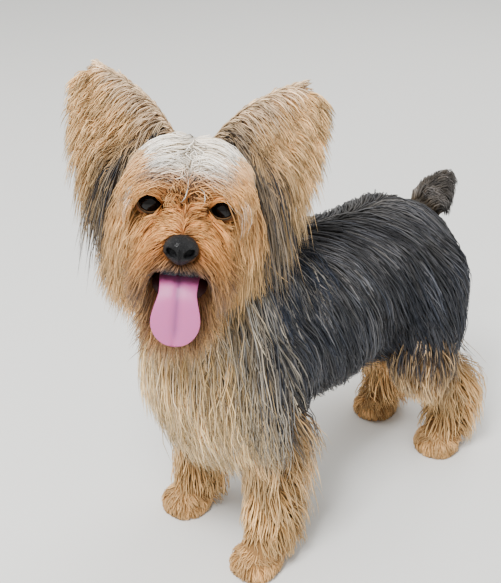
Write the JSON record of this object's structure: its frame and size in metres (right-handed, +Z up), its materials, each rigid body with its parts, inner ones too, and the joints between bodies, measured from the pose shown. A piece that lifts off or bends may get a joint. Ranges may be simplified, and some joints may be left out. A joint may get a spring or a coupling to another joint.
{
  "type": "yorkshire terrier",
  "caption": "Life-size Yorkshire terrier standing still, head turned to its left with ears pricked, mouth open and tongue out, long coat in locks.",
  "frame": {"origin": "on the floor, under the middle of the whole animal", "axes": "-Y is the way the body faces, +X is the animal's left, +Z is up; the head looks to its left, between -Y and +X"},
  "size_m": [0.1389, 0.3361, 0.3496],
  "materials": {
    "body_coat": "long silky hair, dark steel blue, a dull sheen along the locks",
    "chest_coat": "long soft hair, cream tan mixed with grey",
    "face_coat": "fine hair, golden tan, paler at the tips and silver on the crown",
    "ear_coat": "short velvet hair over thin skin with a long tan fringe",
    "leg_coat": "soft wavy hair, tan with pale tips",
    "paw": "short tan hair over dark leathery pads, with dark horn claws",
    "eye": "wet, near-black brown",
    "nose": "moist black nose leather, satin",
    "tongue": "wet pink flesh, with a darker furrow down the middle"
  },
  "bodies": {
    "root": {"eye_left": "eye", "eye_right": "eye", "nose": "nose", "tongue": "tongue", "lower_jaw": "face_coat", "ear_left": "ear_coat", "ear_right": "ear_coat", "head": "face_coat", "torso": "body_coat", "neck": "chest_coat", "tail": "body_coat", "leg_fore_left": "leg_coat", "paw_fore_left": "paw", "leg_fore_right": "leg_coat", "paw_fore_right": "paw", "leg_hind_left": "leg_coat", "paw_hind_left": "paw", "leg_hind_right": "leg_coat", "paw_hind_right": "paw"}
  },
  "joints": []
}
